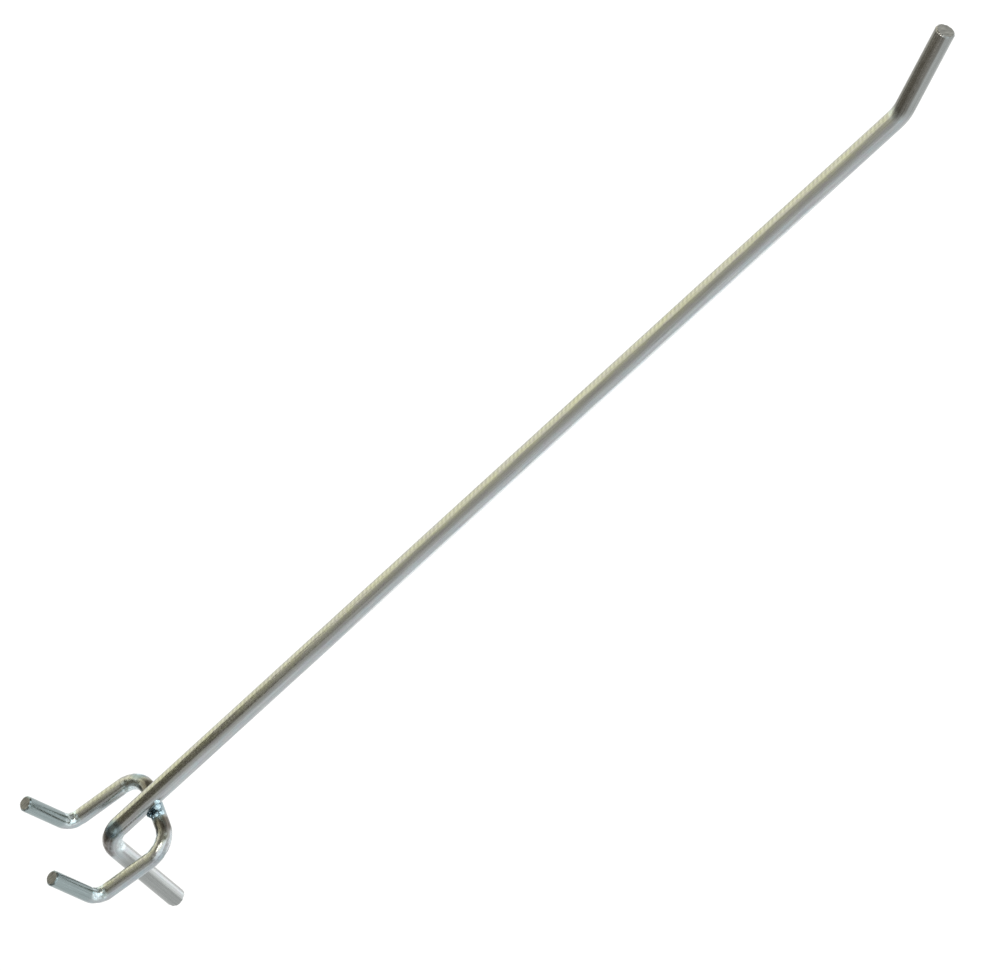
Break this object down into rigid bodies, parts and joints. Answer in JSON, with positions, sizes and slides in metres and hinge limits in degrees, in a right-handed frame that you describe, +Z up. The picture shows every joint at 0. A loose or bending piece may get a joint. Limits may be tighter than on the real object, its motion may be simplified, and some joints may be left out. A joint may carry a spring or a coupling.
{
  "type": "display hook",
  "caption": "Welded wire display hook for a perforated board: a long rising arm with an upturned tip, a leg, and a U of thinner wire with two upturned prongs.",
  "frame": {"origin": "on the board's front face, midway between the two prongs and at the height of their axes", "axes": "+X out of the board along the prong runs, +Y across the board, +Z up"},
  "size_m": [0.3147, 0.029, 0.0935],
  "materials": {
    "arm_plating": "bright zinc plate on drawn steel wire, faint straw and blue tints",
    "prong_plating": "bright zinc plate on drawn steel wire, faint blue-green tint"
  },
  "bodies": {
    "root": {"arm_wire": "arm_plating", "prong_wire": "prong_plating"}
  },
  "joints": []
}
